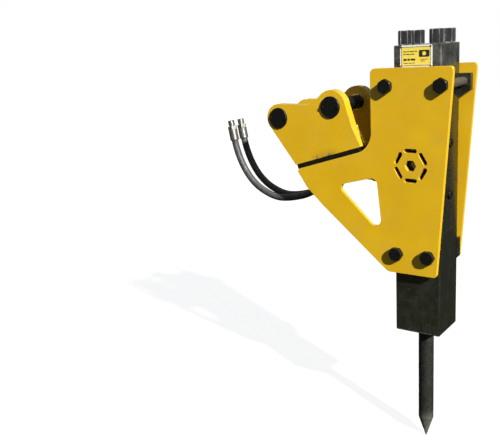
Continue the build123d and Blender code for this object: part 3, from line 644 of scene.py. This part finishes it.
FINISHED = [
    # name, node, body, slot, finish, corner radius
    ("near_plate", "side_plate_near", "hammer", "yellow_paint", PAINT, 0.0003),
    ("far_plate", "side_plate_far", "hammer", "yellow_paint", PAINT, 0.0003),
    ("base_plate_finish", "base_plate", "hammer", "black_paint", PRIMER, 0.0010),
    ("near_ear", "ear_near", "hammer", "yellow_paint", EAR_PAINT, 0.0012),
    ("far_ear", "ear_far", "hammer", "yellow_paint", EAR_PAINT, 0.0012),
    ("arm_pin_finish", "arm_pin", "arm_pin_set", "black_bolt", BOLT, 0.0008),
    ("link_pin_finish", "link_pin", "link_pin_set", "black_bolt", BOLT, 0.0008),
    ("front_head_finish", "front_head", "hammer", "black_paint", ENAMEL, 0.0008),
    ("cylinder_finish", "cylinder", "hammer", "black_paint", ENAMEL, 0.0008),
    ("back_head_finish", "back_head", "hammer", "black_paint", ENAMEL, 0.0008),
    ("valve_block", "valve_body", "hammer", "black_paint", ENAMEL, 0.0008),
    ("long_bolts", "upper_side_bolts", "hammer", "bare_bolt", LONG_BOLT, 0.0006),
    ("long_bolt_nuts", "upper_side_nuts", "hammer", "black_bolt", BOLT, 0.0006),
    ("short_bolts", "lower_side_bolts", "hammer", "black_bolt", BOLT, 0.0006),
    ("rod_nuts", "tie_rod_nuts", "hammer", "black_bolt", NUT, 0.0022),
    ("hose_sleeves", "hose_ferrules", "hammer", "plated_fitting", ZINC, 0.0006),
    ("hose_swivels", "hose_nuts", "hammer", "plated_fitting", ZINC, 0.0006),
    ("hose_couplings", "hose_end_adapters", "hammer", "plated_fitting", ZINC, 0.0005),
    ("block_adapters", "port_adapters", "hammer", "plated_fitting", ZINC, 0.0005),
    ("spool_caps", "valve_caps", "hammer", "plated_fitting", ZINC, 0.0006),
    ("gas_cap", "gas_valve_cap", "hammer", "plated_fitting", ZINC, 0.0004),
    ("label_plate", "name_plate", "hammer", "label", WHITE_INK, 0.0003),
]
for name, node, body, slot, material, edge in FINISHED:
    new_piece(name, rounded_copy(node, edge), body, material)
    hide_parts(node)


# ---- chisel -------------------------------------------------------------------------------------
RING = 0.0035                      # height of the rings that the working part is cut into
WORKING_TOP = FRONT_FOOT_Z - 0.004


def chisel_mesh():
    """The tool's own shape, cut into rings below the head and knocked about a little."""
    bm = merged_copy("chisel")
    z = TIP_Z + RING
    while z < WORKING_TOP:
        geometry = list(bm.verts) + list(bm.edges) + list(bm.faces)
        bmesh.ops.bisect_plane(bm, geom=geometry, plane_co=(0, 0, z), plane_no=(0, 0, 1), dist=1e-6)
        z += RING
    for vertex in bm.verts:
        out = Vector((vertex.co.x - AXIS_X, vertex.co.y, 0.0))
        radius = out.length
        if vertex.co.z >= WORKING_TOP or radius <= 1e-5:
            continue
        near_point = max(0.0, min(1.0, (CONE_FOOT_Z + 0.012 - vertex.co.z) / 0.02))
        swell = noise.noise(vertex.co * 55.0) * 0.00022 + noise.noise(vertex.co * 210.0) * 0.00018
        knock = noise.noise(vertex.co * 120.0 + Vector((7.0, 0.0, 3.0)))
        dent = min(0.0, knock + 0.22) * 0.0016
        shift = min(0.0, swell - 0.0002) + dent * (0.35 + near_point)
        out *= max(0.0, shift + radius) / radius
        vertex.co.x, vertex.co.y = AXIS_X + out.x, out.y
    for face in bm.faces:
        face.smooth = True
    mesh = bpy.data.meshes.new("chisel_skin")
    bm.to_mesh(mesh)
    bm.free()
    mesh.set_sharp_from_angle(angle=math.radians(38.0))
    return mesh


chisel = new_piece("moil_point", chisel_mesh(), "tool", CHISEL)
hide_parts("chisel")


# ---- CAD parts that keep their own mesh ---------------------------------------------------------
KEPT = {
    "ear_bushes": GROUND, "arm_pin_screws": BOLT, "link_pin_screws": BOLT, "lower_bush": GROUND,
    "upper_bush": BRONZE, "dust_seal": SEAL, "bush_pin": GROUND, "retaining_pins": GROUND,
    "retaining_plugs": SEAL, "grease_nipple": ZINC, "cylinder_plugs": BOLT,
    "valve_spool": GROUND, "valve_screws": BOLT, "piston": GROUND,
    "seal_retainer": BRONZE, "rod_seals": SEAL, "gas_valve": ZINC,
    "name_plate_rivets": ZINC, "tie_rods": BOLT,
}
for node, material in KEPT.items():
    mesh = NODES[node].data
    mesh.materials.clear()
    mesh.materials.append(material)


# ---- grown pieces: weld beads and threads -------------------------------------------------------
def plant(name, inputs):
    """Geometry tree with named inputs: its web, its given sockets and its result socket."""
    tree = bpy.data.node_groups.new(name, "GeometryNodeTree")
    tree.interface.new_socket(name="Geometry", in_out="INPUT", socket_type="NodeSocketGeometry")
    kinds = {float: "NodeSocketFloat", int: "NodeSocketInt", tuple: "NodeSocketVector"}
    for key, value in inputs.items():
        kind = kinds.get(type(value), "NodeSocketMaterial")
        socket = tree.interface.new_socket(name=key, in_out="INPUT", socket_type=kind)
        if kind != "NodeSocketMaterial":
            socket.default_value = value
    tree.interface.new_socket(name="Geometry", in_out="OUTPUT", socket_type="NodeSocketGeometry")
    web = Web(tree)
    return tree, web, web.node("NodeGroupInput").outputs, web.node("NodeGroupOutput").inputs["Geometry"]


def bead_tree():
    """Weld bead along a curve: overlapping ripples, each a little different in size."""
    tree, web, given, result = plant("weld_bead", {
        "Ripple Step": 0.002, "Bead Radius": 0.003, "Ripple Length": 0.0024, "Unevenness": 0.2,
        "Seed": 3, "Material": None})
    line = web.node("GeometryNodeResampleCurve", {
        "Curve": given["Geometry"], "Length": given["Ripple Step"]}, mode="LENGTH")
    drop = web.node("GeometryNodeMeshUVSphere", {"Segments": 10, "Rings": 6, "Radius": 1.0})
    along = web.node("GeometryNodeInputTangent").outputs[0]
    turn = web.node("FunctionNodeAlignRotationToVector", {"Vector": along}, axis="X")
    low = web.math("SUBTRACT", 1.0, given["Unevenness"])
    high = web.math("ADD", 1.0, given["Unevenness"])
    size = web.node("FunctionNodeRandomValue", {
        2: low, 3: high, "Seed": given["Seed"]}, data_type="FLOAT")
    shape = web.node("ShaderNodeCombineXYZ", {
        0: given["Ripple Length"], 1: given["Bead Radius"], 2: given["Bead Radius"]})
    scale = web.node("ShaderNodeVectorMath", {
        0: shape.outputs[0], "Scale": size.outputs[1]}, operation="SCALE")
    drops = web.node("GeometryNodeInstanceOnPoints", {
        "Points": line.outputs[0], "Instance": drop.outputs["Mesh"], "Rotation": turn.outputs[0],
        "Scale": scale.outputs[0]})
    whole = web.node("GeometryNodeRealizeInstances", {"Geometry": drops.outputs[0]})
    smooth = web.node("GeometryNodeSetShadeSmooth", {"Geometry": whole.outputs[0]})
    done = web.node("GeometryNodeSetMaterial", {
        "Geometry": smooth.outputs[0], "Material": given["Material"]})
    tree.links.new(done.outputs[0], result)
    return tree


def thread_tree():
    """Screw thread standing on each given point: one crest wound round the shank."""
    tree, web, given, result = plant("screw_thread", {
        "Turns": 3.0, "Pitch": 0.003, "Crest Radius": 0.012, "Crest Height": 0.0009,
        "Turn": (0.0, 0.0, 0.0), "Material": None})
    height = web.math("MULTIPLY", given["Turns"], given["Pitch"])
    helix = web.node("GeometryNodeCurveSpiral", {
        "Resolution": 36, "Rotations": given["Turns"], "Start Radius": given["Crest Radius"],
        "End Radius": given["Crest Radius"], "Height": height})
    tooth = web.node("GeometryNodeCurvePrimitiveCircle", {"Resolution": 5, "Radius": given["Crest Height"]})
    crest = web.node("GeometryNodeCurveToMesh", {
        "Curve": helix.outputs[0], "Profile Curve": tooth.outputs[0], "Fill Caps": True})
    spots = web.node("GeometryNodeMeshToPoints", {"Mesh": given["Geometry"]})
    stood = web.node("GeometryNodeInstanceOnPoints", {
        "Points": spots.outputs[0], "Instance": crest.outputs[0], "Rotation": given["Turn"]})
    whole = web.node("GeometryNodeRealizeInstances", {"Geometry": stood.outputs[0]})
    done = web.node("GeometryNodeSetMaterial", {
        "Geometry": whole.outputs[0], "Material": given["Material"]})
    tree.links.new(done.outputs[0], result)
    return tree


def grown(name, data, tree, **values):
    """Plain mesh of what a tree makes of some data."""
    work = bpy.data.objects.new(name + "_work", data)
    modifier = work.modifiers.new("grow", "NODES")
    modifier.node_group = tree
    wanted = {key.replace("_", " "): value for key, value in values.items()}
    for item in tree.interface.items_tree:
        if item.item_type == "SOCKET" and item.in_out == "INPUT" and item.name in wanted:
            modifier[item.identifier] = wanted[item.name]
    bpy.context.scene.collection.objects.link(work)
    return settle(name, work)


def weld_lines(name, lines):
    """Curve object data of straight weld runs."""
    data = bpy.data.curves.new(name, "CURVE")
    data.dimensions = "3D"
    for start, end in lines:
        spline = data.splines.new("POLY")
        spline.points.add(1)
        spline.points[0].co = (*start, 1.0)
        spline.points[1].co = (*end, 1.0)
    return data


def on_ramp(along, above, y):
    """Point measured along and above the side plates' sloped edge."""
    spot = RAMP_START + RAMP_U * along + RAMP_N * above
    return Vector((spot.x, y, spot.z))


BEAD = bead_tree()
THREAD = thread_tree()
SIDES = (-1, 1)
EAR_FOOT = Vector((0.2745, 0.0, -0.0784))
EAR_RISE = Vector((-0.4446, 0.0, 0.8957))


def weld_piece(name, lines, **bead):
    """Painted weld beads along straight runs, on the hammer."""
    mesh = grown(name, weld_lines(name + "_runs", lines), BEAD, Material=WELD, **bead)
    new_piece(name, mesh)


def ramp_runs(start, end, above, inner):
    """One run on each side, along the sloped edge at a given depth."""
    return [(on_ramp(start, above, side * inner), on_ramp(end, above, side * inner)) for side in SIDES]


def edge_spot(up, side):
    """Point up the ears' right edge, at its inner corner."""
    return EAR_FOOT + EAR_RISE * up + Vector((0.0015, side * (EAR_IN + 0.0012), 0.0008))


weld_piece("ear_welds", ramp_runs(0.006, 0.212, BASE_T + 0.0006, EAR_IN - 0.0006), Ripple_Step=0.0023,
           Bead_Radius=0.0042, Ripple_Length=0.0026, Unevenness=0.16, Seed=11)
weld_piece("plate_welds", ramp_runs(0.004, 0.194, -0.0006, PLATE_IN - 0.0006), Ripple_Step=0.0023,
           Bead_Radius=0.0040, Ripple_Length=0.0026, Unevenness=0.16, Seed=12)
weld_piece("edge_welds", [(edge_spot(0.004, side), edge_spot(0.060, side)) for side in SIDES],
           Ripple_Step=0.0046, Bead_Radius=0.0044, Ripple_Length=0.0044, Unevenness=0.45, Seed=5)


def spots(name, points):
    """Loose points for threads to stand on."""
    mesh = bpy.data.meshes.new(name)
    mesh.from_pydata([tuple(point) for point in points], [], [])
    return mesh


bolt_ends = [(x, HALF + NUT_H + 0.0006, UPPER_BOLT_Z) for x in UPPER_BOLT_X]
bolt_threads = grown("bolt_threads", spots("bolt_ends", bolt_ends), THREAD, Turns=1.6, Pitch=0.003,
                     Crest_Radius=0.0118, Crest_Height=0.0008, Turn=(-math.pi / 2, 0.0, 0.0),
                     Material=BOLT)
new_piece("bolt_threads", bolt_threads)

# The free ends' couplings, leaning as the hoses do there.
END_LEAN = math.atan2(-0.0092, 0.0512)
END_U = Vector((math.sin(END_LEAN), 0.0, math.cos(END_LEAN)))
END_X, END_Z = HOSE_ROUTE[-1]
coupling_feet = [Vector((END_X, side * HOSE_Y, END_Z)) + END_U * 0.0505 for side in SIDES]
coupling_threads = grown("coupling_threads", spots("coupling_feet", coupling_feet), THREAD, Turns=7.0,
                         Pitch=0.00181, Crest_Radius=0.01005, Crest_Height=0.00055,
                         Turn=(0.0, END_LEAN, 0.0), Material=ZINC)
COUPLING_THREADS = new_piece("coupling_threads", coupling_threads)


# ---- label --------------------------------------------------------------------------------------
def rounded_outline(width, height, radius, middle=(0.0, 0.0), steps=6):
    """Corner-rounded rectangle as points in x and z, anticlockwise seen from the front."""
    points = []
    for sx, sz, start in ((1, 1, 0), (-1, 1, 90), (-1, -1, 180), (1, -1, 270)):
        for i in range(steps + 1):
            angle = math.radians(start + 90.0 * i / steps)
            points.append((middle[0] + sx * (width / 2 - radius) + radius * math.cos(angle),
                           middle[1] + sz * (height / 2 - radius) + radius * math.sin(angle)))
    return points


def printed(name, shapes, foot, material):
    """Raised print on the label: each outline becomes a thin tablet, or a frame round its inner one."""
    bm = bmesh.new()

    def rims(outline):
        back = [bm.verts.new((LABEL_MIDDLE[0] + x, foot, LABEL_MIDDLE[1] + z)) for x, z in outline]
        return back, [bm.verts.new((v.co.x, foot - FILM, v.co.z)) for v in back]

    for outline, inner in shapes:
        back, front = rims(outline)
        pairs = [(i, (i + 1) % len(back)) for i in range(len(back))]
        for i, j in pairs:
            bm.faces.new((front[i], front[j], back[j], back[i]))
        if inner is None:
            bm.faces.new(list(reversed(front)))
            bm.faces.new(back)
            continue
        back_in, front_in = rims(inner)
        for i, j in pairs:
            bm.faces.new((front_in[j], front_in[i], back_in[i], back_in[j]))
            bm.faces.new((front[j], front[i], front_in[i], front_in[j]))
            bm.faces.new((back[i], back[j], back_in[j], back_in[i]))
    bmesh.ops.recalc_face_normals(bm, faces=bm.faces)
    mesh = bpy.data.meshes.new(name)
    bm.to_mesh(mesh)
    bm.free()
    new_piece(name, mesh, "hammer", material)


FILM = 0.00012                     # thickness of one print
TABLET = (0.023, 0.0065)           # middle of the tablet, from the label's middle
BAR_ROWS = [
    # height on the label, thickness, lengths
    (0.0125, 0.0024, (0.009, 0.006, 0.011, 0.007)),
    (0.0055, 0.0024, (0.006, 0.010, 0.012)),
    (-0.0085, 0.0052, (0.010, 0.007, 0.013)),
    (-0.0175, 0.0016, (0.014, 0.009, 0.006)),
]


def label_print():
    """Straw field in a thin frame, rows of plain bars and a plain hexagon tablet."""
    field = rounded_outline(LABEL_W - 0.009, LABEL_H - 0.009, 0.0035)
    printed("label_field", [(field, None)], LABEL_FACE_Y, STRAW_INK)
    frame_line = (rounded_outline(LABEL_W - 0.0085, LABEL_H - 0.0085, 0.0037),
                  rounded_outline(LABEL_W - 0.0110, LABEL_H - 0.0110, 0.0025))
    tablet = rounded_outline(0.029, 0.018, 0.003, TABLET)
    marks = [frame_line, (tablet, None)]
    for z, height, widths in BAR_ROWS:
        x = -LABEL_W / 2 + 0.0095
        for width in widths:
            marks.append((rounded_outline(width, height, height * 0.3, (x + width / 2, z), 2), None))
            x += width + 0.0018
    marks.append((rounded_outline(0.020, 0.0016, 0.0005, (0.023, -0.0085), 2), None))
    marks.append((rounded_outline(0.013, 0.0016, 0.0005, (0.0195, -0.0130), 2), None))
    printed("label_marks", marks, LABEL_FACE_Y - FILM, BLACK_INK)
    corners = [math.radians(60 * k) for k in range(6)]
    hexagon = [(TABLET[0] + 0.0058 * math.cos(a), TABLET[1] + 0.0058 * math.sin(a)) for a in corners]
    printed("label_hexagon", [(hexagon, None)], LABEL_FACE_Y - 2 * FILM, STRAW_INK)


label_print()


# ---- the hoses' finish --------------------------------------------------------------------------
for which, y in (("supply", -HOSE_Y), ("return", HOSE_Y)):
    hose = HOSES[which]
    hose.data.materials.append(RUBBER)
    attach(hose, "hammer")
    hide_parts("hose_" + which)


# ---- floor and light ----------------------------------------------------------------------------
FLOOR_Z = TIP_Z - 0.001


def floor():
    mesh = bpy.data.meshes.new("floor")
    reach = 14.0
    mesh.from_pydata([(-reach, -reach, FLOOR_Z), (reach, -reach, FLOOR_Z), (reach, reach, FLOOR_Z),
                      (-reach, reach, FLOOR_Z)], [], [(0, 1, 2, 3)])
    material, web, shader = finish_material("pale_floor")
    colour = web.mix(web.noise(2.0, 2.0), (0.135, 0.135, 0.135), (0.145, 0.145, 0.145))
    join(web, shader, colour, web.between(web.noise(3.0), 0.0, 1.0, 0.7, 0.8))
    shader.inputs["Emission Color"].default_value = (1, 1, 1, 1)
    shader.inputs["Emission Strength"].default_value = 0.87
    mesh.materials.append(material)
    plane = bpy.data.objects.new("floor", mesh)
    plane.visible_glossy = False
    plane.visible_diffuse = False
    bpy.context.scene.collection.objects.link(plane)


floor()


def sun(name, way, energy, spread, colour):
    """Sun lamp shining along a direction."""
    data = bpy.data.lights.new(name, "SUN")
    data.energy, data.angle, data.color = energy, math.radians(spread), colour
    lamp = bpy.data.objects.new(name, data)
    lamp.rotation_euler = Vector(way).to_track_quat("-Z", "Y").to_euler()
    bpy.context.scene.collection.objects.link(lamp)
    return lamp


def lights():
    """Warm key, soft cool fill from behind, and a dim surround that the camera sees as white."""
    sun("key", (-2.02, 1.0, -1.35), 7.7, 1.8, (1.0, 0.975, 0.90))
    fill = sun("fill", (1.0, -0.9, -0.12), 4.6, 20.0, (0.94, 0.97, 1.0))
    fill.visible_glossy = False
    world = bpy.data.worlds.new("studio")
    bpy.context.scene.world = world
    world.use_nodes = True
    web = Web(world.node_tree)
    for old in list(world.node_tree.nodes):
        world.node_tree.nodes.remove(old)
    seen = web.node("ShaderNodeBackground", {"Color": (1, 1, 1, 1), "Strength": 1.0})
    way = web.node("ShaderNodeTexCoord").outputs["Generated"]
    up = web.part(way, "Z")
    behind = web.between(web.dot(way, (0.60, 0.80, 0.0)), -0.1, 0.8)
    level = web.math("MULTIPLY", web.between(up, -0.50, -0.06), behind)
    ground = web.mix(level, (0.044, 0.047, 0.030), (0.075, 0.075, 0.070))
    sky = web.mix(web.between(up, 0.0, 0.9), (0.22, 0.235, 0.25), (0.16, 0.19, 0.25))
    surround = web.mix(web.between(up, -0.06, 0.04), ground, sky)
    felt = web.node("ShaderNodeBackground", {"Color": surround, "Strength": 1.0})
    camera_ray = web.node("ShaderNodeLightPath").outputs["Is Camera Ray"]
    both = web.node("ShaderNodeMixShader", {0: camera_ray, 1: felt.outputs[0], 2: seen.outputs[0]})
    web.node("ShaderNodeOutputWorld", {"Surface": both.outputs[0]})


lights()
bpy.context.scene.view_settings.view_transform = "Standard"
bpy.context.scene.view_settings.look = "None"
